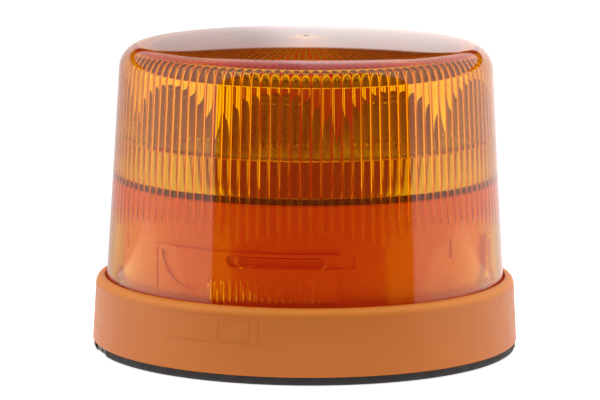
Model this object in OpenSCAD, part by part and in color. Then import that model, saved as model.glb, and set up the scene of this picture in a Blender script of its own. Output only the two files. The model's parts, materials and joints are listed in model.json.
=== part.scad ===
// Amber LED warning beacon, fixed mount: flanged base, rubber pad, inner tower with the
// driver board, a ring of nine reflector dishes, and a turn-lock amber dome.
// Millimetres. Origin at the centre of the pad's underside, +Z up, front towards -Y.

/* [Base] */
// Outer diameter of the base ring at its foot
base_d = 168; // [166:1:172]
// Thickness of the rubber pad under the base
pad_t = 3.2; // [2.8:0.1:3.4]
// Height of the base ring's top edge above the ground
ring_z = 29; // [28.6:0.1:29.5]
// Radius of the ring's rounded shoulder
shoulder_r = 3.4; // [2.8:0.1:3.5]

/* [Mounting] */
// Pitch circle of the three threaded inserts
mount_pcd = 130; // [128:1:131]
// Core hole radius of an M6 insert
insert_bore_r = 2.5; // [2.4:0.05:2.6]
// Bore radius of the cable grommet, for a round cable
cable_r = 3.5; // [2.5:0.1:4]

/* [Dome] */
// Dome wall thickness
wall_t = 3; // [2.8:0.1:3.2]
// Radius of the dome's top corner
corner_r = 9.9; // [9.5:0.1:10.2]
// Height of the dome's crown at its centre
dome_top = 123.4; // [123:0.1:124]
// How far the dome turns to unlock, in degrees
unlock_turn = 33; // [32:1:34]

/* [Light unit] */
// Number of reflector dishes
niches = 9; // [8:1:9]
// Height of the tower's deck top
deck_z = 67; // [66.8:0.1:67.2]
// Height of the LED board's underside
board_z = 82.2; // [82.1:0.1:82.4]
// Outer radius of the reflector
refl_r = 62; // [61.9:0.1:62.2]
// Height of the reflector's top face
refl_top = 109.2; // [109:0.1:109.4]
// Focal length of each dish
focal = 6.3; // [6.2:0.05:6.35]

/* [Hidden] */

$fn = 48;
base_r = base_d / 2;
ring_fn = 180;
front = -90;                 // polar angle of the front, -Y
niche_a0 = front - 10;       // polar angle of the first dish
mount_a = [front + 60, front + 180, front + 300];   // inserts
post_a = [front, front + 120, front + 240];         // tower screws
stand_a = [front + 30, front + 150, front + 270];   // board standoffs
pad_a = [front, front + 120, front + 240];          // turn-lock pads and lugs
mount_r = mount_pcd / 2;
post_r = 62.5;
stand_r = 45;
pcb_z = 24;
pcb_top = pcb_z + 1.6;
plate_top = board_z;
led_face = board_z + 1.6;
led_r = 46;
dish_z = led_face + 1;       // height of the dishes' axes
cover_a = [niche_a0 + 20, niche_a0 + 140, niche_a0 + 260];   // cover screws, behind the ridges
amber = [0.98, 0.55, 0.05, 0.6];
ochre = [0.80, 0.45, 0.18];
plated = [0.86, 0.86, 0.88];

function arc(cx, cz, r, a0, a1, n) = [for (i = [0:n]) let (a = a0 + (a1 - a0) * i / n) [cx + r * cos(a), cz + r * sin(a)]];
function polar(r, a) = [r * cos(a), r * sin(a)];

// ---- shared shapes -------------------------------------------------------
module around(angles, r) { for (a = angles) rotate(a) translate([r, 0, 0]) children(); }
module tube(ro, ri, z0, z1, fn = 96) {
  translate([0, 0, z0]) difference() {
    cylinder(r = ro, h = z1 - z0, $fn = fn);
    translate([0, 0, -1]) cylinder(r = ri, h = z1 - z0 + 2, $fn = fn);
  }
}
module rod(r, z0, z1, fn = 32) { translate([0, 0, z0]) cylinder(r = r, h = z1 - z0, $fn = fn); }
// Ring sector: r0..r1, z0..z1, from angle a0 over da
module sector(r0, r1, z0, z1, a0, da) {
  rotate([0, 0, a0]) rotate_extrude(angle = da, $fn = 120) translate([r0, z0]) square([r1 - r0, z1 - z0]);
}
// Pan-head screw pointing down, its head on top at z
module pan_screw(z, len, head_r, r, head_h, slot = true) {
  difference() {
    union() {
      rotate_extrude($fn = 32) polygon([[0, z], [head_r, z], [head_r, z + head_h * 0.55], [head_r * 0.8, z + head_h], [0, z + head_h]]);
      rod(r, z - len, z + 0.01);
    }
    if (slot) for (a = [0, 90]) rotate(a) translate([-head_r * 0.6, -0.35, z + head_h * 0.45]) cube([head_r * 1.2, 0.7, head_h]);
  }
}

// ---- base ----------------------------------------------------------------
ring_top_r = base_r - 1.2;
function ring_rad(z) = base_r - 1.2 * (z - pad_t - 0.5) / (ring_z - shoulder_r - pad_t - 0.5);
base_profile = concat(
  [[8.1, pad_t], [69.3, pad_t], [69.3, 14], [81.2, 14], [81.5, pad_t], [base_r - 0.5, pad_t], [base_r, pad_t + 0.5],
   [ring_top_r, ring_z - shoulder_r]],
  arc(ring_top_r - shoulder_r, ring_z - shoulder_r, shoulder_r, 11.25, 90, 7),
  [[79.1, ring_z - 0.4], [79.1, 25.4], [81.2, 24.2], [81.2, 16.5], [69.3, 16.5], [69.3, 21.5], [68.9, 22], [66.8, 22], [66.8, 6.2], [8.1, 6.2]]);

// Raised line on the ring's face, following its draft
module line_on_ring(a0, da, z0, z1, h) rotate([0, 0, front + a0]) rotate_extrude(angle = da, $fn = ring_fn)
  polygon([[ring_rad(z0) - 0.5, z0], [ring_rad(z0) + h, z0], [ring_rad(z1) + h, z1], [ring_rad(z1) - 0.5, z1]]);

module base_housing() color(ochre) difference() {
  union() {
    rotate_extrude($fn = ring_fn) polygon(base_profile);
    // stiffening ribs in the hollow under the shelf
    for (i = [0:23]) rotate(front + 7.5 + i * 15) translate([69, -0.9, pad_t + 0.6]) cube([13.2, 1.8, 11]);
    around(mount_a, mount_r) rod(6.6, pad_t + 0.3, 15.9);
    around(post_a, post_r) rod(4.6, 6, 21.8);
    around(stand_a, stand_r) rod(3.4, 6, pcb_z);
    // blank label frame on the ring's face, with a smaller one inside its right end
    line_on_ring(-39, 27, 15, 15.35, 0.1);
    line_on_ring(-39, 27, 25.2, 25.55, 0.1);
    line_on_ring(-12.5, 0.3, 15.1, 25.45, 0.13);
    line_on_ring(-23.6, 8.9, 15.9, 16.2, 0.08);
    line_on_ring(-23.6, 8.9, 23.9, 24.2, 0.08);
    for (a = [-23.5, -15.1]) line_on_ring(a, 0.25, 16, 24.1, 0.1);
    // inner ribs of the floor
    for (i = [0:5]) rotate(front + 30 + i * 60) translate([12, -0.9, 6]) cube([55, 1.8, 5]);
  }
  around(mount_a, mount_r) rod(4.65, pad_t - 1, 15.4);
  around(post_a, post_r) { rod(2.1, pad_t - 1, 23); rod(4.1, pad_t - 1, 6.8); }
  around(stand_a, stand_r) rod(1.25, 12, pcb_z + 1);
  rotate(front + 180) translate([34, 0, 0]) rod(4.05, pad_t - 1, 12);
}

module base_pad() color([0.07, 0.07, 0.075]) difference() {
  rotate_extrude($fn = ring_fn) polygon([[7.6, 0], [82.4, 0], [83.2, 0.5], [83.6, 1.3], [83.6, pad_t], [7.6, pad_t]]);
  around(mount_a, mount_r) rod(4, -1, pad_t + 1);
  rotate(front + 180) translate([34, 0, 0]) rod(2.5, -1, pad_t + 1);
  // shallow grip groove round the underside
  tube(74.4, 72.8, -1, 0.8, fn = ring_fn);
  // drain notch
  sector(76, 85, -1, pad_t + 1, front - 80, 12);
}

// Grey insert in the pad's notch; its slot drains the hollow under the ring
module drain_insert() color([0.25, 0.24, 0.24]) difference() {
  sector(76.1, 82.9, 1, pad_t, front - 79.8, 11.6);
  rotate(front - 72.5) translate([78, -1.1, 1.5]) cube([6, 2.2, 1.1]);
  rotate(front - 72.5) translate([78, -1.1, 1.5]) cube([2.2, 2.2, 3]);
}

module mount_inserts() color([0.78, 0.6, 0.25]) around(mount_a, mount_r) difference() {
  union() {
    rod(4.6, pad_t, 15.2, 48);
  }
  rod(insert_bore_r, pad_t - 1, 13.8, 48);
  for (z = [6.6, 10.2]) difference() { rod(5.2, z, z + 0.8); rod(4.2, z - 1, z + 2); }
}

module cable_grommet() color([0.05, 0.05, 0.055]) rotate_extrude($fn = 64) polygon(
  [[cable_r, pad_t], [7.9, pad_t], [8.1, pad_t + 0.3], [8.1, 6.2], [11.4, 6.2], [11.6, 6.6], [11.6, 8.2], [9.4, 9.6], [cable_r, 9.6]]);

module vent_plug() color([0.3, 0.3, 0.32]) rotate(front + 180) translate([34, 0, 0]) difference() {
  union() { rod(4, pad_t, 11.4); rod(6.2, 11, 12.6); }
  rod(1.2, pad_t - 1, 11.4);
  for (a = [0, 120, 240]) rotate(a) translate([4.4, 0, 0]) rod(0.5, 12.1, 13);
}

module dome_seal() color([0.12, 0.11, 0.11]) rotate_extrude($fn = ring_fn) polygon(
  concat([[75.2, 16.5], [79.6, 16.5], [79.6, 18.6]], [[79.2, 19.0], [78.9, 19.2], [76.0, 19.2], [75.6, 19.0], [75.2, 18.6]]));

// ---- tower ---------------------------------------------------------------
module tower_shell() color(ochre) difference() {
  union() {
    difference() {
      rotate_extrude($fn = ring_fn) polygon([[0, 16.5], [72, 16.5], [72, deck_z - 0.6], [71.4, deck_z], [0, deck_z]]);
      rod(69.5, 15, deck_z - 2.5, ring_fn);
    }
    // turn-lock pads
    for (a = pad_a) sector(71.5, 73.6, 30, 48.5, a - 50.5, 27.5 + unlock_turn);
    // screw posts with their webs
    around(post_a, post_r) { rod(4.2, 22.2, 46); translate([0, -1.2, 22.2]) cube([7.2, 2.4, 23.8]); }
    // collar round the lead opening
    tube(13.5, 11, deck_z - 8, deck_z - 2, fn = 48);
  }
  for (a = pad_a) {
    // groove under the pad's top, closed at one end
    sector(71.4, 75, 42.9, 47.5, a - 22, 4 + unlock_turn);
    rotate(a - 22) translate([71.2, 0, 45.2]) rotate([0, 90, 0]) cylinder(r = 2.2, h = 4, $fn = 32);
    // pocket beside it, with a curved web left standing in its lower corner
    sector(73.1, 75, 31, 46.8, a - 49.5, 15.7);
    intersection() {
      sector(72, 75, 31, 46.8, a - 49.5, 15.7);
      rotate(a - 36) translate([70, 0, 48]) rotate([0, 90, 0]) cylinder(r = 15, h = 6, $fn = 96);
    }
    // slit left of the pad
    sector(71.2, 75, 43, 50.4, a - 71.1, 1.4);
  }
  around(post_a, post_r) rod(2.05, 20, 43);
  rod(11, deck_z - 10, deck_z + 1, 48);
  for (k = [0:3]) rotate(niche_a0 + 90 * k) translate([32, 0, 0]) rod(2.05, deck_z - 5, deck_z + 1);
}

module tower_screws() color([0.62, 0.63, 0.65]) around(post_a, post_r) mirror([0, 0, 1]) pan_screw(-6.8, 31, 3.9, 2, 3);

// Bowed leaf on the tower below one pad; its crest sits between two of the dome's teeth
module detent_spring() {
  fa = front + 120 - 9.16;   // crest angle
  n = 16;
  mid = [for (i = [0:n]) let (t = i / n, a = fa - 9 + 18 * t) polar(72.02 + 1.68 * pow(sin(180 * t), 3), a)];
  out = [for (i = [0:n]) let (t = i / n, a = fa - 9 + 18 * t) polar(72.42 + 1.68 * pow(sin(180 * t), 3), a)];
  color([0.75, 0.76, 0.78]) translate([0, 0, 22.5])
    linear_extrude(height = 6) polygon(concat(mid, [for (i = [n:-1:0]) out[i]]));
}

// ---- driver electronics --------------------------------------------------
module driver_board() color([0.08, 0.32, 0.16]) difference() {
  translate([0, 0, pcb_z]) cylinder(r = 56.5, h = 1.6, $fn = 120);
  around(stand_a, stand_r) rod(1.6, pcb_z - 1, pcb_top + 1);
  translate([-44, 30, pcb_z - 1]) cube([18, 40, 4]);
  rotate(front + 180) translate([34, 0, 0]) rod(7, pcb_z - 1, pcb_top + 1);
}
module board_screws() color([0.7, 0.7, 0.72]) around(stand_a, stand_r) pan_screw(pcb_top, 12, 2.8, 1.2, 1.8);
module terminal_block() color([0.1, 0.1, 0.11]) difference() {
  translate([-13.5, -37, pcb_top]) union() { cube([27, 10, 7.5]); translate([0, 2.4, 7]) cube([27, 7.6, 4]); }
  for (i = [-1:1]) {
    translate([i * 8.6, -38, pcb_top + 3.4]) rotate([-90, 0, 0]) cylinder(r = 1.9, h = 7, $fn = 24);
    translate([i * 8.6, -31, 0]) rod(2.3, pcb_top + 5.4, pcb_top + 12, 24);
  }
}
module terminal_screws() color([0.75, 0.75, 0.77]) for (i = [-1:1]) translate([i * 8.6, -31, 0]) difference() {
  rod(2.2, pcb_top + 5.4, pcb_top + 8.6, 24);
  translate([-2, -0.35, pcb_top + 7.6]) cube([4, 0.7, 2]);
}
module capacitors() for (p = [[-31, -14, 5, 15], [-31, 0, 5, 15], [-18, 9, 4, 11]]) translate([p[0], p[1], 0])
  color([0.1, 0.16, 0.3]) difference() {
    rotate_extrude($fn = 40) polygon([[0, pcb_top], [p[2], pcb_top], [p[2], pcb_top + 1.6], [p[2] - 0.35, pcb_top + 2], [p[2], pcb_top + 2.4],
      [p[2], pcb_top + p[3] - 0.5], [p[2] - 0.5, pcb_top + p[3]], [0, pcb_top + p[3]]]);
    for (a = [0, 90]) rotate(a) translate([-p[2] * 0.7, -0.15, pcb_top + p[3] - 0.3]) cube([p[2] * 1.4, 0.3, 1]);
  }
module inductor_core() color([0.16, 0.16, 0.17]) translate([28, 12, 0]) rotate_extrude($fn = 48)
  polygon([[0, pcb_top], [8, pcb_top], [8, pcb_top + 1.6], [4.6, pcb_top + 1.6], [4.6, pcb_top + 7.4], [8, pcb_top + 7.4], [8, pcb_top + 9], [0, pcb_top + 9]]);
module inductor_coil() color([0.72, 0.36, 0.16]) translate([28, 12, 0]) rotate_extrude($fn = 48)
  polygon(concat([[4.7, pcb_top + 1.7]], [for (i = [0:4]) for (p = [[7.0, 0.05], [7.4, 0.55], [7.0, 1.05]]) [p[0], pcb_top + 1.7 + i * 1.12 + p[1]]], [[4.7, pcb_top + 7.3]]));
module power_transistors() for (i = [0:2]) translate([24 + i * 0.01, -12 - i * 12.5, pcb_top]) {
  color([0.12, 0.12, 0.13]) difference() {
    union() {
      translate([0, -5, 3]) cube([4.4, 10, 9]);
      translate([3.1, -5, 3]) cube([1.3, 10, 15]);
      for (j = [-1:1]) translate([1.6, j * 2.54 - 0.4, 0]) cube([0.6, 0.8, 3.5]);
    }
    translate([2, 0, 15.2]) rotate([0, 90, 0]) cylinder(r = 1.8, h = 4, $fn = 24);
  }
}
module controller_chips() color([0.09, 0.09, 0.1]) {
  translate([-8, -16, pcb_top]) cube([9, 9, 1.5]);
  translate([8, -18, pcb_top]) cube([5, 6, 1.5]);
  translate([-6, 22, pcb_top]) cube([6, 4, 1.5]);
  for (p = [[6, -8], [10, 24], [-14, -6], [16, 2]]) translate([p[0], p[1], pcb_top]) cube([3.2, 1.6, 0.9]);
}
module board_connector() color([0.88, 0.87, 0.82]) difference() {
  translate([-4, -6.5, pcb_top]) cube([8, 13, 6.5]);
  for (i = [0:3]) translate([0, -4.5 + 3 * i, 0]) rod(0.95, pcb_top + 2, pcb_top + 8, 20);
}
// Four leads from the driver board up through the tower's deck and over to the LED board
module led_leads() for (i = [0:3]) color([[0.75, 0.1, 0.08], [0.1, 0.1, 0.1], [0.85, 0.7, 0.1], [0.9, 0.9, 0.88]][i])
  translate([0, -4.5 + 3 * i, 0]) {
    rod(0.8, pcb_top + 2.2, 92, 20);
    translate([12, 0, 92]) rotate([90, 0, 0]) rotate_extrude(angle = 180, $fn = 60) translate([12, 0]) circle(r = 0.8, $fn = 20);
    translate([24, 0, 0]) rod(0.8, led_face + 2.2, 92, 20);
  }

// ---- light unit ----------------------------------------------------------
module deck_gasket() color([0.05, 0.05, 0.05]) tube(71.3, 66.6, deck_z, deck_z + 2.4, fn = ring_fn);

module heat_sink() color([0.7, 0.71, 0.73]) difference() {
  union() {
    translate([0, 0, 78]) cylinder(r = 68.4, h = plate_top - 78, $fn = ring_fn);
    rod(17, deck_z, 79, 64);
    for (i = [0:23]) rotate(niche_a0 + 7.5 + i * 15) translate([16, -0.8, deck_z + 2.4]) cube([49, 1.6, 10]);
    for (k = [0:3]) rotate(niche_a0 + 90 * k) translate([32, 0, 0]) rod(4.6, deck_z, 79);
  }
  rod(12, deck_z - 1, plate_top + 1, 64);
  for (k = [0:3]) rotate(niche_a0 + 90 * k) translate([32, 0, 0]) rod(2.05, deck_z - 1, 79.5);
  around(cover_a, 34) rod(1.65, 77, plate_top + 1);
}
module unit_screws() color([0.62, 0.63, 0.65]) for (k = [0:3]) rotate(niche_a0 + 90 * k) translate([32, 0, 0])
  mirror([0, 0, 1]) pan_screw(-(deck_z - 2.5), 13, 3.6, 2, 2.4);

module trim_ring() color(plated) rotate_extrude($fn = ring_fn) polygon(
  [[66.8, deck_z + 2.4], [71.2, deck_z + 2.4], [71.4, deck_z + 2.7], [71.4, 83.6], [71.1, 83.9], [70.7, 83.9], [70.4, 83.6], [70.4, 83.3],
   [62.3, 83.3], [62.3, plate_top], [69.6, plate_top], [69.6, deck_z + 3.6], [66.8, deck_z + 3.6]]);

module led_board() color([0.92, 0.92, 0.9]) difference() {
  tube(61.2, 19.5, board_z, led_face, fn = 120);
  around(cover_a, 34) rod(1.7, board_z - 1, led_face + 1);
  for (k = [0:niches - 1]) rotate(niche_a0 + 180 / niches + 360 / niches * k) translate([57.5, 0, 0]) rod(1.3, board_z - 1, led_face + 1, 20);
}
module leds() for (k = [0:niches - 1]) rotate(niche_a0 + 360 / niches * k) translate([led_r, 0, led_face]) {
  color([0.95, 0.93, 0.85]) translate([-1.9, -1.9, 0]) cube([3.8, 3.8, 0.9]);
  color([0.98, 0.82, 0.2]) intersection() { translate([0, 0, 0.85]) sphere(r = 1.55, $fn = 32); translate([-2, -2, 0.85]) cube([4, 4, 2]); }
}
module led_connector() color([0.88, 0.87, 0.82]) difference() {
  translate([20.6, -6.5, led_face]) cube([6.8, 13, 5]);
  for (i = [0:3]) translate([24, -4.5 + 3 * i, 0]) rod(0.95, led_face + 2, led_face + 6, 20);
}

// A ring block with a raised rim, and a parabolic dish sunk into it at each LED, its axis radial
// and its focus on the LED; ridges are left between the dishes, widening upwards
dish_d = refl_r + 2 - (led_r - focal);
dish = [for (i = [0:10]) let (h = sqrt(4 * focal * dish_d) * i / 10) [h, h * h / (4 * focal)]];
dish_half = 180 / niches - 0.4;   // leaves a thin web between neighbours
module reflector() color(plated) {
  difference() {
    rotate_extrude($fn = ring_fn) polygon([[28.6, led_face], [refl_r, led_face], [refl_r, refl_top + 1], [refl_r - 0.2, refl_top + 1.2],
      [refl_r - 1.2, refl_top + 1.2], [refl_r - 1.2, refl_top], [28.6, refl_top]]);
    for (k = [0:niches - 1]) rotate(niche_a0 + 360 / niches * k) intersection() {
      translate([led_r - focal, 0, dish_z]) rotate([0, 90, 0]) rotate_extrude($fn = 60) polygon(concat(dish, [[0, dish_d]]));
      translate([0, 0, led_face - 2]) linear_extrude(height = 40) polygon([[0, 0], 80 * [cos(dish_half), -sin(dish_half)], 80 * [cos(dish_half), sin(dish_half)]]);
    }
    // hollow behind the dishes, closed by the cover
    translate([0, 0, led_face + 2]) tube(led_r - focal - 2.2, 30.6, 0, 40, fn = 120);
    // the cover's screws pass through the foot
    around(cover_a, 34) rod(1.9, led_face - 1, led_face + 3);
  }
  // bosses for the cover's screws
  around(cover_a, 34) difference() {
    rod(3.1, led_face + 0.2, refl_top - 0.1);
    rod(1.9, led_face - 1, refl_top + 1);
  }
}
// Dark plate inside the reflector's rim
module top_cover() color([0.1, 0.09, 0.09]) difference() {
  rotate_extrude($fn = ring_fn) polygon([[0, refl_top], [refl_r - 1.4, refl_top], [refl_r - 1.4, refl_top + 0.7], [refl_r - 1.6, refl_top + 0.9],
    [30, refl_top + 0.9], [29, refl_top + 1.6], [0, refl_top + 1.6]]);
  around(cover_a, 34) rod(1.9, refl_top - 1, refl_top + 4);
}
module top_screws() color([0.62, 0.63, 0.65]) around(cover_a, 34) pan_screw(refl_top + 0.9, 30.5, 3.2, 1.6, 1.9);

// ---- dome ----------------------------------------------------------------
slope = 5.3;                                       // crown's slope where it meets the corner
cc = [73.6 - corner_r, 110.5];                     // corner centre
crown_edge = [cc[0] + corner_r * sin(slope), cc[1] + corner_r * cos(slope)];
crown_r = crown_edge[0] / sin(slope);
crown_n = 8;
crown_h = crown_r * (cos(slope / crown_n) - cos(slope));
lift = dome_top - (crown_edge[1] + crown_h);       // keeps the crown at its stated height
cz = cc[1] + lift;
// Points i = 1..crown_n of the crown, offset inwards; the last one closes it with a small flat
function crown(off) = [for (i = [1:crown_n]) let (a = slope * (1 - i / crown_n)) i == crown_n ? [0, dome_top - off]
  : [(crown_r - off) * sin(a), dome_top - off + (crown_r - off) * (cos(a) - cos(slope / crown_n))]];
dome_outer = concat([[78.5, 19.2], [78.8, 19.5], [78.8, 27], [78.4, 30.5], [75.95, 70]],
  arc(cc[0], cz, corner_r, 0, 90 - slope, 9), crown(0));
dome_inner = concat([[76.2, 19.2], [75.9, 19.5], [75.9, 27], [78.4 - wall_t, 30.5], [75.95 - wall_t, 70]],
  arc(cc[0], cz, corner_r - wall_t, 0, 90 - slope, 9), crown(wall_t));

module dome_lens() color(amber) union() {
  difference() {
    rotate_extrude($fn = ring_fn) polygon(concat(dome_outer, [for (i = [len(dome_inner) - 1:-1:0]) dome_inner[i]]));
    // gate mark at the crown's centre
    rod(1.1, dome_top - 0.5, dome_top + 1, 24);
  }
  // turn-lock lugs
  for (a = pad_a) difference() {
    union() {
      sector(72, 75.4, 43.4, 47, a - 19, 23.7);
      for (e = [-19, 4.7]) rotate(a + e) translate([72, 0, 45.2]) rotate([0, 90, 0]) cylinder(r = 1.9, h = 3.4, $fn = 32);
    }
    rod(72.3, 40, 50, ring_fn);
  }
  // click teeth, seventeen to a lug
  for (a = pad_a, i = [0:16]) rotate(a + 4.1 - i * 2.04) translate([74.4, -0.5, 21]) cube([2, 1, 16.9]);
}

base_pad();
drain_insert();
base_housing();
mount_inserts();
cable_grommet();
vent_plug();
dome_seal();
tower_shell();
tower_screws();
detent_spring();
driver_board();
board_screws();
terminal_block();
terminal_screws();
capacitors();
inductor_core();
inductor_coil();
power_transistors();
controller_chips();
board_connector();
led_leads();
deck_gasket();
heat_sink();
unit_screws();
trim_ring();
led_board();
leds();
led_connector();
reflector();
top_cover();
top_screws();
dome_lens();
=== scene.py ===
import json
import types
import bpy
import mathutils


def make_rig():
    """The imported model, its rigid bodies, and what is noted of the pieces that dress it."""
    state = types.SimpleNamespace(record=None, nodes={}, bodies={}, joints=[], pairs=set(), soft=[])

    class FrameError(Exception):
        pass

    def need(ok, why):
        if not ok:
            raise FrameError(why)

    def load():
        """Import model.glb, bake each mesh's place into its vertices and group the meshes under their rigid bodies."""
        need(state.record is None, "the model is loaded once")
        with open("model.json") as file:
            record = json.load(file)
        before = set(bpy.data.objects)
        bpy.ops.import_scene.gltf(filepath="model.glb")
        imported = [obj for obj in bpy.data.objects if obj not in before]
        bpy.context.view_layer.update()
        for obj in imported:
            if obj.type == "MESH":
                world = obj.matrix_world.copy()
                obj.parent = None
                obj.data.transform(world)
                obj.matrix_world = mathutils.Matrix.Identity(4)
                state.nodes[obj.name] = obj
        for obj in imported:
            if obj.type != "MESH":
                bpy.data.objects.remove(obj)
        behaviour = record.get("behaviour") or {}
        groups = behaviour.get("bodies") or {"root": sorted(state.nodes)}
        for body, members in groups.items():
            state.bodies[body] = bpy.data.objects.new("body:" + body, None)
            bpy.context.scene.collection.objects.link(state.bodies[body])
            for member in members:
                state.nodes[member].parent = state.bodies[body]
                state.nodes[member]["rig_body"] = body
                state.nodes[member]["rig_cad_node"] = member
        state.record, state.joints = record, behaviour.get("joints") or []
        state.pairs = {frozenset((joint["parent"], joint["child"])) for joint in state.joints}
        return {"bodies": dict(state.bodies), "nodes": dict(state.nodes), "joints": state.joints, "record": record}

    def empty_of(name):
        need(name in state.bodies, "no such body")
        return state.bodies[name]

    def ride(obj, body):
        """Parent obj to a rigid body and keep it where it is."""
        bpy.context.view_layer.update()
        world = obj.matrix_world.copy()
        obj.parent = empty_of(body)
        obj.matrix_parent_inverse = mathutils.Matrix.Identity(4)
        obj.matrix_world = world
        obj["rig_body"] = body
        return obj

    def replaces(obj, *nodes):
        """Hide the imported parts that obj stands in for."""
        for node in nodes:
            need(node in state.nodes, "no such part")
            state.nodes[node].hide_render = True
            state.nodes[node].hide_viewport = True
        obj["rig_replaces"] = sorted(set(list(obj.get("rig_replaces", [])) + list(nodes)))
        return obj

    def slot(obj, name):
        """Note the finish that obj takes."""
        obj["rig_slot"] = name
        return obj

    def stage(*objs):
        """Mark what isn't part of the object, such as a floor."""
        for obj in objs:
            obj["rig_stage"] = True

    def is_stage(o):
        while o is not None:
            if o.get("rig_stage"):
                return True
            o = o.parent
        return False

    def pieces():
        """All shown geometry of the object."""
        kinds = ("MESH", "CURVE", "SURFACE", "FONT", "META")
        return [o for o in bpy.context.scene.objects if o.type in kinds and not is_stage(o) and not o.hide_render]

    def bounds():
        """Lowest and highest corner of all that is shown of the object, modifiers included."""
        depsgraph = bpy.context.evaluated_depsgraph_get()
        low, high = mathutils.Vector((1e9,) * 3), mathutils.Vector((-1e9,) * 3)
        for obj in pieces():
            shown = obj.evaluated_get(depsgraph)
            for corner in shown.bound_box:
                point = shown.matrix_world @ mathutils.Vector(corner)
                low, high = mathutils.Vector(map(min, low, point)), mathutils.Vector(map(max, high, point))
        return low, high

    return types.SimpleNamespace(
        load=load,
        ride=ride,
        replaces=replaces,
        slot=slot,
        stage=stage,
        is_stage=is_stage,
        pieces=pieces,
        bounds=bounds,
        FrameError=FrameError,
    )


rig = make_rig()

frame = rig.load()

import json
import math

import bpy
import numpy as np
from mathutils import Matrix, Vector

MM = 0.001
cad_lo, cad_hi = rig.bounds()
FRONT = -90.0          # polar angle of the front, -Y
NICHE_A0 = FRONT - 10.0


# ---------------------------------------------------------------- materials
def new_mat(name):
    m = bpy.data.materials.new(name)
    m.use_nodes = True
    nt = m.node_tree
    nt.nodes.clear()
    out = nt.nodes.new("ShaderNodeOutputMaterial")
    p = nt.nodes.new("ShaderNodeBsdfPrincipled")
    nt.links.new(p.outputs["BSDF"], out.inputs["Surface"])
    return m, nt, p, out


def coords(nt, scale=1.0):
    tc = nt.nodes.new("ShaderNodeTexCoord")
    mp = nt.nodes.new("ShaderNodeMapping")
    mp.inputs["Scale"].default_value = (scale, scale, scale) if not isinstance(scale, tuple) else scale
    nt.links.new(tc.outputs["Object"], mp.inputs["Vector"])
    return mp.outputs["Vector"]


def noise(nt, vec, scale, detail=4.0, rough=0.55, distortion=0.0):
    n = nt.nodes.new("ShaderNodeTexNoise")
    n.inputs["Scale"].default_value = scale
    n.inputs["Detail"].default_value = detail
    n.inputs["Roughness"].default_value = rough
    n.inputs["Distortion"].default_value = distortion
    nt.links.new(vec, n.inputs["Vector"])
    return n.outputs["Fac"]


def remap(nt, fac, a, b, lo=0.3, hi=0.7):
    r = nt.nodes.new("ShaderNodeMapRange")
    r.inputs["From Min"].default_value = lo
    r.inputs["From Max"].default_value = hi
    r.inputs["To Min"].default_value = a
    r.inputs["To Max"].default_value = b
    nt.links.new(fac, r.inputs["Value"])
    return r.outputs["Result"]


def mix_rgb(nt, fac, a, b):
    m = nt.nodes.new("ShaderNodeMix")
    m.data_type = "RGBA"
    m.inputs[6].default_value = (*a, 1)
    m.inputs[7].default_value = (*b, 1)
    nt.links.new(fac, m.inputs[0])
    return m.outputs[2]


def bump(nt, p, height, strength, distance):
    b = nt.nodes.new("ShaderNodeBump")
    b.inputs["Strength"].default_value = strength
    b.inputs["Distance"].default_value = distance
    nt.links.new(height, b.inputs["Height"])
    nt.links.new(b.outputs["Normal"], p.inputs["Normal"])


def plain(name, a, b, rough=(0.4, 0.5), metallic=0.0, scale=60.0, grain=None, spec=0.5, coat=0.0, ior=1.46):
    """Two close colours mixed by noise, with noise in the roughness and a fine grain."""
    m, nt, p, out = new_mat(name)
    v = coords(nt)
    n = noise(nt, v, scale, 5.0)
    nt.links.new(mix_rgb(nt, remap(nt, n, 0, 1), a, b), p.inputs["Base Color"])
    n2 = noise(nt, v, scale * 3.1, 3.0)
    nt.links.new(remap(nt, n2, rough[0], rough[1]), p.inputs["Roughness"])
    p.inputs["Metallic"].default_value = metallic
    p.inputs["IOR"].default_value = ior
    p.inputs["Specular IOR Level"].default_value = spec
    p.inputs["Coat Weight"].default_value = coat
    if grain:
        bump(nt, p, noise(nt, v, grain[0], 3.0, 0.6), grain[1], grain[2])
    return m


M = {}


def ring_material():
    """Satin moulded ochre, made paler on the ring's rounded shoulder as a painted highlight where the light from above
    catches it.
    """
    m, nt, p, out = new_mat("orange_plastic")
    v = coords(nt)
    base = mix_rgb(nt, remap(nt, noise(nt, v, 40, 5.0), 0, 1), (0.535, 0.141, 0.011), (0.565, 0.153, 0.014))
    # painted highlight: a band at the top of the shoulder, z 25.5 to 28.4 mm, is mixed toward a paler orange to stand
    # for the light that falls on it
    sep = nt.nodes.new("ShaderNodeSeparateXYZ")
    nt.links.new(v, sep.inputs["Vector"])
    mr = nt.nodes.new("ShaderNodeMapRange")
    mr.interpolation_type = "SMOOTHSTEP"
    mr.inputs["From Min"].default_value = 0.0255
    mr.inputs["From Max"].default_value = 0.0284
    nt.links.new(sep.outputs["Z"], mr.inputs["Value"])
    m2 = nt.nodes.new("ShaderNodeMix")
    m2.data_type = "RGBA"
    nt.links.new(mr.outputs["Result"], m2.inputs[0])
    nt.links.new(base, m2.inputs[6])
    m2.inputs[7].default_value = (0.90, 0.285, 0.030, 1)
    nt.links.new(m2.outputs[2], p.inputs["Base Color"])
    nt.links.new(remap(nt, noise(nt, v, 130, 3.0), 0.40, 0.48), p.inputs["Roughness"])
    bump(nt, p, noise(nt, v, 2600, 3.0, 0.6), 0.10, 0.0001)
    p.inputs["Specular IOR Level"].default_value = 0.38
    return m


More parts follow.
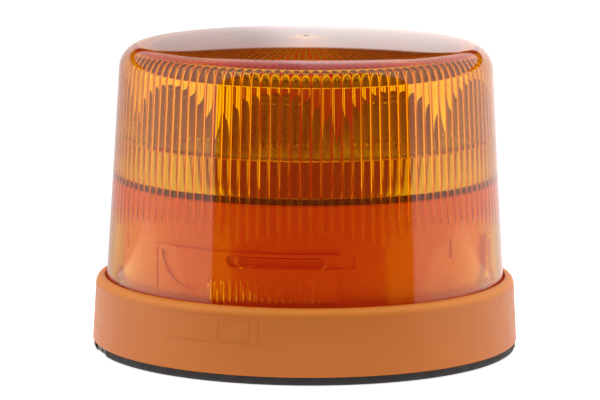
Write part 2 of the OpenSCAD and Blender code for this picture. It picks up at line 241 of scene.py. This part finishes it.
M["orange_plastic"] = ring_material()
M["tower_plastic"] = plain("tower_plastic", (0.90, 0.172, 0.006), (0.94, 0.188, 0.009), (0.20, 0.30), 0, 40, (1800, 0.06, 0.0001), 0.5)
M["black_rubber"] = plain("black_rubber", (0.022, 0.019, 0.019), (0.034, 0.030, 0.029), (0.62, 0.8), 0, 120, (2200, 0.3, 0.0002), 0.35)
M["grey_plastic"] = plain("grey_plastic", (0.045, 0.043, 0.042), (0.06, 0.058, 0.056), (0.45, 0.55), 0, 100, (2500, 0.2, 0.0001))
M["brass"] = plain("brass", (0.72, 0.47, 0.17), (0.80, 0.55, 0.22), (0.22, 0.36), 1.0, 220)
M["zinc_steel"] = plain("zinc_steel", (0.52, 0.53, 0.55), (0.62, 0.63, 0.64), (0.25, 0.4), 1.0, 300)
M["spring_steel"] = plain("spring_steel", (0.62, 0.63, 0.64), (0.72, 0.73, 0.74), (0.18, 0.3), 1.0, 200)
M["green_board"] = plain("green_board", (0.012, 0.10, 0.040), (0.016, 0.13, 0.052), (0.28, 0.4), 0, 90, (900, 0.1, 0.0001))
M["white_board"] = plain("white_board", (0.74, 0.74, 0.71), (0.80, 0.80, 0.77), (0.3, 0.42), 0, 90, (900, 0.08, 0.0001))
M["black_plastic"] = plain("black_plastic", (0.012, 0.012, 0.014), (0.02, 0.02, 0.022), (0.24, 0.34), 0, 150, (2500, 0.2, 0.0001))
M["blue_sleeve"] = plain("blue_sleeve", (0.012, 0.03, 0.13), (0.016, 0.04, 0.16), (0.15, 0.25), 0, 150)
M["ferrite"] = plain("ferrite", (0.03, 0.03, 0.032), (0.045, 0.045, 0.047), (0.55, 0.7), 0, 300, (1500, 0.3, 0.0001))
M["enamelled_copper"] = plain("enamelled_copper", (0.52, 0.16, 0.05), (0.62, 0.21, 0.07), (0.18, 0.28), 1.0, 300)
M["cream_plastic"] = plain("cream_plastic", (0.68, 0.64, 0.52), (0.74, 0.70, 0.58), (0.35, 0.45), 0, 120)
M["aluminium"] = plain("aluminium", (0.70, 0.71, 0.72), (0.78, 0.79, 0.80), (0.28, 0.4), 1.0, 120)


def plated_material():
    """Metallised plastic: a bright mirror in the dishes, and on the trim ring below them a rougher mirror painted
    darker, as painted shade.
    """
    m, nt, p, out = new_mat("plated_plastic")
    v = coords(nt)
    n = remap(nt, noise(nt, v, 60, 5.0), 0, 1)
    bright = mix_rgb(nt, n, (0.86, 0.78, 0.76), (0.91, 0.83, 0.81))
    # painted shade: below z 83.7 mm the same plating gets a darker colour, standing for the dimmer light the trim ring
    # shows
    trim_ring_painted_shade = mix_rgb(nt, n, (0.50, 0.41, 0.37), (0.55, 0.45, 0.41))
    sep = nt.nodes.new("ShaderNodeSeparateXYZ")
    nt.links.new(v, sep.inputs["Vector"])
    high = nt.nodes.new("ShaderNodeMath")
    high.operation = "GREATER_THAN"
    high.inputs[1].default_value = 0.0837
    nt.links.new(sep.outputs["Z"], high.inputs[0])
    m2 = nt.nodes.new("ShaderNodeMix")
    m2.data_type = "RGBA"
    nt.links.new(high.outputs[0], m2.inputs[0])
    nt.links.new(trim_ring_painted_shade, m2.inputs[6])
    nt.links.new(bright, m2.inputs[7])
    nt.links.new(m2.outputs[2], p.inputs["Base Color"])
    mr = nt.nodes.new("ShaderNodeMapRange")
    mr.inputs["To Min"].default_value = 0.20
    mr.inputs["To Max"].default_value = 0.06
    nt.links.new(high.outputs[0], mr.inputs["Value"])
    nt.links.new(mr.outputs["Result"], p.inputs["Roughness"])
    p.inputs["Metallic"].default_value = 1.0
    return m


M["plated_plastic"] = plated_material()


def lead_material():
    """Four insulation colours, told apart by where each lead lies across the bundle."""
    m, nt, p, out = new_mat("lead_insulation")
    tc = nt.nodes.new("ShaderNodeTexCoord")
    sep = nt.nodes.new("ShaderNodeSeparateXYZ")
    nt.links.new(tc.outputs["Object"], sep.inputs["Vector"])
    mr = nt.nodes.new("ShaderNodeMapRange")
    mr.inputs["From Min"].default_value = -0.006
    mr.inputs["From Max"].default_value = 0.006
    nt.links.new(sep.outputs["Y"], mr.inputs["Value"])
    cr = nt.nodes.new("ShaderNodeValToRGB")
    cr.color_ramp.interpolation = "CONSTANT"
    cr.color_ramp.elements[0].color = (0.5, 0.02, 0.015, 1)
    cr.color_ramp.elements[1].position = 0.25
    cr.color_ramp.elements[1].color = (0.02, 0.02, 0.022, 1)
    for pos, col in ((0.5, (0.62, 0.42, 0.03, 1)), (0.75, (0.75, 0.74, 0.7, 1))):
        e = cr.color_ramp.elements.new(pos)
        e.color = col
    nt.links.new(mr.outputs["Result"], cr.inputs["Fac"])
    nt.links.new(cr.outputs["Color"], p.inputs["Base Color"])
    nt.links.new(remap(nt, noise(nt, tc.outputs["Object"], 400), 0.3, 0.45), p.inputs["Roughness"])
    return m


M["lead_insulation"] = lead_material()


def led_material():
    """Clear lens over a yellow emitter: yellow where it is high, cream at the package."""
    m, nt, p, out = new_mat("led_body")
    tc = nt.nodes.new("ShaderNodeTexCoord")
    sep = nt.nodes.new("ShaderNodeSeparateXYZ")
    nt.links.new(tc.outputs["Object"], sep.inputs["Vector"])
    mr = nt.nodes.new("ShaderNodeMapRange")
    mr.inputs["From Min"].default_value = 0.0846
    mr.inputs["From Max"].default_value = 0.0848
    nt.links.new(sep.outputs["Z"], mr.inputs["Value"])
    nt.links.new(mix_rgb(nt, mr.outputs["Result"], (0.78, 0.76, 0.68), (0.90, 0.62, 0.06)), p.inputs["Base Color"])
    p.inputs["Roughness"].default_value = 0.12
    p.inputs["Coat Weight"].default_value = 0.6
    return m


M["led_body"] = led_material()


def amber_material():
    m, nt, p, out = new_mat("amber_plastic")
    p.inputs["Base Color"].default_value = (1.0, 0.985, 0.95, 1)
    p.inputs["Transmission Weight"].default_value = 1.0
    p.inputs["Roughness"].default_value = 0.0
    p.inputs["IOR"].default_value = 1.49
    # painted light: a faint red glow on the lens, which is no lamp, to brighten the orange seen through it
    p.inputs["Emission Color"].default_value = (1.0, 0.055, 0.0, 1)
    p.inputs["Emission Strength"].default_value = 0.038
    va = nt.nodes.new("ShaderNodeVolumeAbsorption")
    va.inputs["Color"].default_value = (0.985, 0.93, 0.03, 1)
    va.inputs["Density"].default_value = 1000.0
    nt.links.new(va.outputs["Volume"], out.inputs["Volume"])
    return m


M["amber_plastic"] = amber_material()

slot_of = {s["node"]: s["material_slot"] for s in frame["record"]["subparts"]}
for name, ob in frame["nodes"].items():
    mat = M[slot_of[name]]
    if len(ob.data.materials):
        for i in range(len(ob.data.materials)):
            ob.data.materials[i] = mat
    else:
        ob.data.materials.append(mat)


# ---------------------------------------------------------------- the dome
def smooth(t):
    t = np.clip(t, 0, 1)
    return t * t * (3 - 2 * t)


def dome():
    """The dome as one closed skin: smooth outside, and inside it 120 round ribs down the wall and
    under the crown, three turn-lock lugs and the click teeth."""
    wall = 3.0
    flutes = 120
    half = math.pi / flutes                       # half a flute, in radians
    rc, cr, cz, slope, top = 9.9, 63.7, 110.5, 5.3, 123.4
    ex, ez = cr + rc * math.sin(math.radians(slope)), cz + rc * math.cos(math.radians(slope))
    big = ex / math.sin(math.radians(slope))

    def side(z):                                  # outer radius below the corner
        return np.interp(z, [19.5, 27, 30.5, 70, cz], [78.8, 78.8, 78.4, 75.95, 73.6])

    # azimuths: even steps, plus lines at the edges of teeth and lugs
    az = set(np.round(np.arange(0, 360, 0.3), 4))
    pads = [FRONT, FRONT + 120, FRONT + 240]
    teeth = [a + 4.1 - i * 2.04 for a in pads for i in range(17)]
    for t in teeth:
        for d in (-0.46, -0.36, 0.36, 0.46):
            az.add(round((t + d) % 360, 4))
    for a in pads:
        for e in (-19, 4.7):
            for d in np.arange(-1.8, 1.81, 0.15):
                az.add(round((a + e + d) % 360, 4))
    A = np.array(sorted(az))
    keep = [0]
    for i in range(1, len(A)):
        if A[i] - A[keep[-1]] > 0.035:
            keep.append(i)
    A = A[keep]
    ar = np.radians(A)
    n = len(A)
    # where in its flute each azimuth lies, -1..1; a flute is centred on the front
    ph = (ar - math.radians(FRONT)) / (2 * half)
    ph = 2 * (ph - np.round(ph))

    verts = []

    def ring(R, Z):
        R = np.broadcast_to(R, (n,))
        Z = np.broadcast_to(Z, (n,))
        verts.append(np.stack([R * np.cos(ar), R * np.sin(ar), Z], 1))

    # outside, from the rim up
    outer = [(78.5, 19.2), (78.8, 19.5)]
    outer += [(float(side(z)), z) for z in np.concatenate([np.linspace(22, 30.5, 5), np.linspace(33, cz, 22)])]
    outer += [(cr + rc * math.cos(t), cz + rc * math.sin(t)) for t in np.radians(np.linspace(6, 90 - slope, 14))]
    for t in np.linspace(slope, 0, 16)[1:-1]:
        s = math.radians(t)
        outer.append((big * math.sin(s), top - big * (1 - math.cos(s))))
    # gate mark: a small round sink at the centre
    outer = [q for q in outer if q[0] > 3.0]
    outer += [(2.2, top - 0.003), (1.12, top - 0.005), (1.0, top - 0.4), (0.5, top - 0.48)]
    for R, Z in outer:
        ring(R, Z)
    n_out = len(outer)
    # inside, from the rim up
    r_rib = 2.32
    arc_in = cr_in = rc - wall                    # inner corner radius
    inner = []
    zs = np.unique(np.concatenate([
        [19.5], np.linspace(20.8, 21.2, 3), np.linspace(23, 36, 6), np.linspace(37.7, 38.1, 3), np.linspace(40, 42.6, 3),
        np.linspace(43, 47.4, 23), np.linspace(49, 66, 13), np.linspace(67, 76, 10), np.linspace(78, cz, 11)]))
    zs = zs[zs <= cz]
    for z in zs:
        ri = float(side(z)) - wall if z > 19.6 else 75.9
        inner.append((ri, z, -1.0, 0.0))
    for t in np.radians(np.concatenate([np.linspace(4, 34, 9), np.linspace(37, 63, 16), np.linspace(67, 90 - slope, 4)])):
        inner.append((cr + arc_in * math.cos(t), cz + arc_in * math.sin(t), -math.cos(t), -math.sin(t)))
    for t in np.linspace(slope, 0, 30)[1:-1]:
        s = math.radians(t)
        inner.append(((big - wall) * math.sin(s), top - wall - (big - wall) * (1 - math.cos(s)), -math.sin(s), -math.cos(s)))
    lug_mask_ang = []
    for a in pads:
        d = (A - a + 180) % 360 - 180
        lug_mask_ang.append(d)
    for R, Z, nx, nz in inner:
        c = R * half                               # half a flute's width here
        h = np.zeros(n)
        s = ph * c
        th = math.degrees(math.atan2(Z - cz, R - cr)) if Z > cz else 0.0
        if Z < cz + 6.8 and R > cr + 1.0:          # wall ribs, round-ended on the corner
            t = max(0.0, math.radians(th - 48) * arc_in)
            r = r_rib
            base = math.sqrt(r * r - c * c)
            h = np.maximum(np.sqrt(np.maximum(r * r - s * s - t * t, 0)) - base, 0)
            k = float(0.4 * smooth((Z - 50.0) / 12) + 0.6 * smooth((Z - 67.0) / 7))
            h = h * k - 0.5 * k * max(0.0, 1 - t / 3.2)
        elif R < 62.5:                             # crown ribs
            t = max(0.0, R - 60.6)
            r = c * 1.95
            base = math.sqrt(r * r - c * c)
            h = np.maximum(np.sqrt(np.maximum(r * r - s * s - t * t, 0)) - base, 0)
            h = h * float(smooth((R - 6) / 8))
        Rr = R + nx * h
        Zr = Z + nz * h
        if 20 < Z < 48:
            # teeth and lugs stand in from the wall
            if 20.95 < Z < 37.95:
                for tt in teeth:
                    d = np.abs((A - tt + 180) % 360 - 180)
                    Rr = np.where(d < 0.41, np.minimum(Rr, 74.4), Rr)
            for d in lug_mask_ang:
                along = np.radians(d + 7.15) * 73.5            # arc length from the lug's middle
                L = math.radians(23.7) * 73.5 / 2
                q = np.hypot(np.maximum(np.abs(along) - L, 0), Z - 45.2) - 1.9
                k = smooth(0.5 - q / 0.3)
                Rr = Rr + (72.3 - Rr) * k
        ring(Rr, Zr)
    n_in = len(inner)
    V = np.concatenate(verts) * MM
    faces = []
    idx = np.arange(n)
    nxt = np.roll(idx, -1)

    def strip(a, b, flip):
        for i, j in zip(idx, nxt):
            f = (a * n + i, a * n + j, b * n + j, b * n + i)
            faces.append(f[::-1] if flip else f)

    for k in range(n_out - 1):
        strip(k, k + 1, False)
    for k in range(n_out, n_out + n_in - 1):
        strip(k, k + 1, True)
    strip(0, n_out, True)
    # the crown's middle: one centre point on each skin
    V = np.concatenate([V, [[0, 0, (top - 0.48) * MM], [0, 0, (top - wall) * MM]]])
    co, ci = len(V) - 2, len(V) - 1
    a, b = (n_out - 1) * n, (n_out + n_in - 1) * n
    for i, j in zip(idx, nxt):
        faces.append((a + i, a + j, co))
        faces.append((b + j, b + i, ci))
    me = bpy.data.meshes.new("dome_fluted")
    me.from_pydata([tuple(v) for v in V], [], [tuple(int(x) for x in f) for f in faces])
    me.materials.append(M["amber_plastic"])
    for p in me.polygons:
        p.use_smooth = True
    me.set_sharp_from_angle(angle=math.radians(32))
    me.update()
    ob = bpy.data.objects.new("dome_fluted", me)
    bpy.context.scene.collection.objects.link(ob)
    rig.replaces(ob, "dome_lens")
    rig.ride(ob, "dome")
    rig.slot(ob, "amber_plastic")
    return ob


dome()


# ---------------------------------------------------------------- the reflector
def reflector():
    """Nine half dishes in one ring, each a paraboloid pressed with rows of small pillow facets and
    two fine ledges near its rim; the ridges between them are smooth."""
    count, Rf, z_lo, z_hi, z0, f, led = 9, 62.0, 83.8, 109.2, 84.8, 6.3, 46.0
    x0 = led - f
    half = 180.0 / count
    nu, nd, nr = 72, 60, 8                          # columns per dish, rows on a dish, rows above it
    cols = []
    for k in range(count):
        for i in range(nu):
            cols.append((NICHE_A0 + 2 * half * k, -half + 2 * half * i / nu))
    verts, n = [], len(cols)
    front = np.zeros((nd + nr + 1, n, 3))
    cell = 2.6
    for j, (a0, a) in enumerate(cols):
        s_, c_ = math.sin(math.radians(a)), math.cos(math.radians(a))
        edge2 = 4 * f * (Rf * c_ - x0) - (Rf * s_) ** 2
        zb = z0 + math.sqrt(max(edge2, 0.0))
        for i in range(nd + nr + 1):
            if i <= nd:
                z = z_lo + (zb - z_lo) * (1 - (1 - i / nd) ** 1.0)
                q = (z - z0) ** 2 + 4 * f * x0
                if abs(s_) < 1e-6:
                    R = q / (4 * f * c_)
                else:
                    d = 16 * f * f * c_ * c_ - 4 * s_ * s_ * q
                    R = (4 * f * c_ - math.sqrt(max(d, 0.0))) / (2 * s_ * s_)
                R = min(R, Rf)
                # facets: a pillow on each cell, none right at the rim
                y = R * s_
                rim = min(1.0, max(0.0, (zb - z) / 1.5)) * min(1.0, max(0.0, (Rf - R) / 1.0))
                pil = abs(math.sin(math.pi * y / cell)) ** 0.8 * abs(math.sin(math.pi * (z - z0) / cell)) ** 0.8
                R -= 0.20 * pil * rim
                # two ledges
                for zl in (102.3, 105.0):
                    t = (z - zl) / 0.35
                    if 0 <= t <= 2:
                        R += 0.50 * math.sin(math.pi * t / 2) * rim * (1 if abs(a) < 13 else 0)
                R = min(R, Rf)
            else:
                z = zb + (z_hi - zb) * (i - nd) / nr
                R = Rf
            t = math.radians(a0 + a)
            front[i, j] = (R * math.cos(t), R * math.sin(t), z)
    ang = np.radians([a0 + a for a0, a in cols])
    rows = [front[i] for i in range(nd + nr + 1)]
    for R, z in ((62.0, 110.2), (61.8, 110.4), (60.8, 110.4), (60.8, z_hi), (37.5, z_hi), (37.5, z_lo + 2), (30.6, z_lo + 2), (30.6, z_hi), (28.6, z_hi), (28.6, z_lo)):
        rows.append(np.stack([R * np.cos(ang), R * np.sin(ang), np.full(n, z)], 1))
    V = np.concatenate(rows) * MM
    faces = []
    m = len(rows)
    for r in range(m):
        a, b = r * n, ((r + 1) % m) * n
        for i in range(n):
            j = (i + 1) % n
            faces.append((a + i, a + j, b + j, b + i))
    # three screw bosses in the hollow
    extra = []
    for k in range(3):
        t = math.radians(NICHE_A0 + 20 + 120 * k)
        cx, cy = 34 * math.cos(t), 34 * math.sin(t)
        base = len(V) + len(extra)
        ns = 28
        prof = ((3.1, 85.0), (3.1, 109.1), (1.9, 109.1), (1.9, 85.0))
        for R, z in prof:
            for i in range(ns):
                w = 2 * math.pi * i / ns
                extra.append(((cx + R * math.cos(w)) * MM, (cy + R * math.sin(w)) * MM, z * MM))
        for r in range(4):
            for i in range(ns):
                j = (i + 1) % ns
                faces.append((base + r * ns + i, base + r * ns + j, base + ((r + 1) % 4) * ns + j, base + ((r + 1) % 4) * ns + i))
    V = np.concatenate([V, np.array(extra)])
    me = bpy.data.meshes.new("reflector_dishes")
    me.from_pydata([tuple(v) for v in V], [], faces)
    me.materials.append(M["plated_plastic"])
    for p in me.polygons:
        p.use_smooth = True
    me.set_sharp_from_angle(angle=math.radians(24))
    me.update()
    ob = bpy.data.objects.new("reflector_dishes", me)
    bpy.context.scene.collection.objects.link(ob)
    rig.replaces(ob, "reflector")
    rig.ride(ob, "base")
    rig.slot(ob, "plated_plastic")


reflector()

# ---------------------------------------------------------------- floor, light, camera
scene = bpy.context.scene


def floor():
    me = bpy.data.meshes.new("floor")
    s, f, b = 0.7, -0.19, 0.16
    me.from_pydata([(-s, f, -0.0002), (s, f, -0.0002), (s, b, -0.0002), (-s, b, -0.0002)], [], [(0, 1, 2, 3)])
    ob = bpy.data.objects.new("floor", me)
    scene.collection.objects.link(ob)
    m, nt, p, out = new_mat("floor_white")
    p.inputs["Base Color"].default_value = (0.86, 0.86, 0.86, 1)
    p.inputs["Roughness"].default_value = 0.9
    p.inputs["Emission Color"].default_value = (1, 1, 1, 1)
    p.inputs["Emission Strength"].default_value = 0.72
    me.materials.append(m)
    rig.stage(ob)


floor()


SIDE, BACK, REAR, TOP, FRONT_L, FRONT_LOW = 1.35, 1.1, 1.15, 0.85, 0.04, 0.04
IN_COL, IN_SIDE, IN_BACK, IN_TOP = (0.27, 0.036, 0.004, 1), 1.35, 0.9, 0.9


def world():
    """A white tent round the object, open and dark towards the camera, with a softbox overhead."""
    w = bpy.data.worlds.new("studio")
    scene.world = w
    w.use_nodes = True
    nt = w.node_tree
    nt.nodes.clear()
    out = nt.nodes.new("ShaderNodeOutputWorld")
    tc = nt.nodes.new("ShaderNodeTexCoord")
    sep = nt.nodes.new("ShaderNodeSeparateXYZ")
    nt.links.new(tc.outputs["Generated"], sep.inputs["Vector"])

    def math_(op, a, b=None, c=None):
        m = nt.nodes.new("ShaderNodeMath")
        m.operation = op
        for i, v in enumerate((a, b, c)):
            if v is None:
                continue
            if isinstance(v, (int, float)):
                m.inputs[i].default_value = v
            else:
                nt.links.new(v, m.inputs[i])
        return m.outputs[0]

    def step(v, lo, hi):
        r = nt.nodes.new("ShaderNodeMapRange")
        r.interpolation_type = "SMOOTHSTEP"
        r.inputs["From Min"].default_value = min(lo, hi)
        r.inputs["From Max"].default_value = max(lo, hi)
        r.inputs["To Min"].default_value = 0.0 if lo < hi else 1.0
        r.inputs["To Max"].default_value = 1.0 if lo < hi else 0.0
        nt.links.new(v, r.inputs["Value"])
        return r.outputs["Result"]

    X, Y, Z = sep.outputs
    # azimuth from the front, + to the right, in degrees; elevation in degrees
    azim = math_("MULTIPLY", math_("ARCTAN2", X, math_("MULTIPLY", Y, -1.0)), 57.29578)
    elev = math_("MULTIPLY", math_("ARCSINE", Z), 57.29578)
    left = step(azim, -54.0, -56.5)
    right = step(azim, 64.0, 67.0)
    side = math_("MAXIMUM", left, right)
    # at the back the wall stops, then a dark gap, then the overhead softbox
    back = step(math_("ABSOLUTE", azim), 118.0, 128.0)
    gap = math_("MULTIPLY", step(elev, 11.5, 12.5), step(elev, 18.0, 17.0))
    gap = math_("MULTIPLY", gap, back)
    # the back wall and the top are dimmer than the two side panels
    far = step(math_("ABSOLUTE", azim), 100.0, 135.0)
    bright = math_("SUBTRACT", SIDE, math_("MULTIPLY", far, SIDE - BACK))
    rear = step(math_("ABSOLUTE", azim), 150.0, 172.0)
    bright = math_("ADD", bright, math_("MULTIPLY", rear, REAR - BACK))
    # the back wall is less bright to the left of the middle
    lean = math_("SUBTRACT", 1.0, math_("MULTIPLY", step(X, 0.0, -0.024), 0.36))
    lean = math_("MULTIPLY", lean, math_("SUBTRACT", 1.0, math_("MULTIPLY", step(X, 0.0, 0.03), 0.02)))
    lean = math_("ADD", math_("MULTIPLY", lean, far), math_("SUBTRACT", 1.0, far))
    bright = math_("MULTIPLY", bright, lean)
    under = math_("MULTIPLY", step(elev, -1.0, -4.0), step(math_("ABSOLUTE", azim), 120.0, 140.0))
    bright = math_("MULTIPLY", bright, math_("SUBTRACT", 1.0, math_("MULTIPLY", under, 0.0)))
    wall = math_("MULTIPLY", math_("MULTIPLY", side, bright), math_("SUBTRACT", 1.0, gap))
    top = step(elev, 62.0, 74.0)
    lit = math_("MAXIMUM", wall, math_("MULTIPLY", top, TOP))
    # the open front of the tent: dimmer, and dimmer still below the table's edge
    low = math_("ADD", FRONT_LOW, math_("MULTIPLY", step(elev, -4.0, 6.0), FRONT_L - FRONT_LOW))
    shut = math_("MULTIPLY", math_("SUBTRACT", 1.0, side), math_("SUBTRACT", 1.0, top))
    level = math_("ADD", math_("ADD", lit, math_("MULTIPLY", low, shut)), 0.01)
    # the room in front and the softbox light the matt surfaces more than they show in gloss
    lp = nt.nodes.new("ShaderNodeLightPath")
    matt = math_("ADD", math_("MULTIPLY", shut, 0.30), math_("MULTIPLY", top, 0.55))
    level = math_("ADD", level, math_("MULTIPLY", lp.outputs["Is Diffuse Ray"], matt))
    bg = nt.nodes.new("ShaderNodeBackground")
    bg.inputs["Color"].default_value = (1.0, 0.99, 1.0, 1)
    nt.links.new(level, bg.inputs["Strength"])
    # what reaches the inside through the dome: wider side panels, and a dim warm room in front
    wide = math_("MAXIMUM", step(azim, -41.0, -47.0), step(azim, 46.0, 52.0))
    back_in = step(math_("ABSOLUTE", azim), 105.0, 135.0)
    lit_in = math_("SUBTRACT", IN_SIDE, math_("MULTIPLY", back_in, IN_SIDE - IN_BACK))
    low_in = math_("MULTIPLY", step(elev, -2.0, -6.0), step(math_("ABSOLUTE", azim), 142.0, 158.0))
    lit_in = math_("MULTIPLY", lit_in, math_("SUBTRACT", 1.0, math_("MULTIPLY", low_in, 0.45)))
    lit_in = math_("MAXIMUM", math_("MULTIPLY", wide, lit_in), math_("MULTIPLY", top, IN_TOP))
    dim_in = math_("MULTIPLY", math_("SUBTRACT", 1.0, wide), math_("SUBTRACT", 1.0, top))
    warm = nt.nodes.new("ShaderNodeBackground")
    warm.inputs["Color"].default_value = IN_COL
    nt.links.new(dim_in, warm.inputs["Strength"])
    pale = nt.nodes.new("ShaderNodeBackground")
    pale.inputs["Color"].default_value = (1.0, 0.79, 0.60, 1)
    nt.links.new(lit_in, pale.inputs["Strength"])
    inside = nt.nodes.new("ShaderNodeAddShader")
    nt.links.new(warm.outputs[0], inside.inputs[0])
    nt.links.new(pale.outputs[0], inside.inputs[1])
    white = nt.nodes.new("ShaderNodeBackground")
    white.inputs["Color"].default_value = (1, 1, 1, 1)
    white.inputs["Strength"].default_value = 1.1
    mt = nt.nodes.new("ShaderNodeMixShader")
    nt.links.new(lp.outputs["Is Transmission Ray"], mt.inputs[0])
    nt.links.new(bg.outputs[0], mt.inputs[1])
    nt.links.new(inside.outputs[0], mt.inputs[2])
    mx = nt.nodes.new("ShaderNodeMixShader")
    nt.links.new(lp.outputs["Is Camera Ray"], mx.inputs[0])
    nt.links.new(mt.outputs[0], mx.inputs[1])
    nt.links.new(white.outputs[0], mx.inputs[2])
    nt.links.new(mx.outputs[0], out.inputs["Surface"])


world()


def camera():
    e, dist = math.radians(8.76), 1.5638
    target = Vector((0, 0, 0.060))
    back = Vector((0, -math.cos(e), math.sin(e)))
    cam = bpy.data.cameras.new("camera")
    cam.lens = 3954.6 * 36.0 / 600.0
    cam.sensor_width = 36.0
    cam.clip_start, cam.clip_end = 0.01, 20
    ob = bpy.data.objects.new("camera", cam)
    scene.collection.objects.link(ob)
    rot = (-back).to_track_quat("-Z", "Y").to_matrix()
    f = 3954.6
    # the target falls at (305.4, 195.1) of the 600 x 400 frame, and the picture leans by 0.32 degrees
    yaw = Matrix.Rotation(5.41 / f, 3, "Y")
    pitch = Matrix.Rotation(-4.85 / f, 3, "X")
    roll = Matrix.Rotation(math.radians(0.32), 3, "Z")
    ob.matrix_world = Matrix.Translation(target + back * dist) @ (rot @ yaw @ pitch @ roll).to_4x4()
    scene.camera = ob


camera()

scene.view_settings.view_transform = "Standard"
scene.view_settings.look = "None"
scene.cycles.max_bounces = 20
scene.cycles.transmission_bounces = 20
scene.cycles.glossy_bounces = 8
scene.cycles.diffuse_bounces = 4
scene.cycles.caustics_refractive = True
scene.cycles.caustics_reflective = True
scene.cycles.sample_clamp_indirect = 6.0
scene.cycles.use_denoising = True

lo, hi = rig.bounds()
try:
    with open("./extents.json", "w") as f:
        json.dump({"cad": [list(cad_lo), list(cad_hi)], "visual": [list(lo), list(hi)]}, f)
except OSError:
    pass
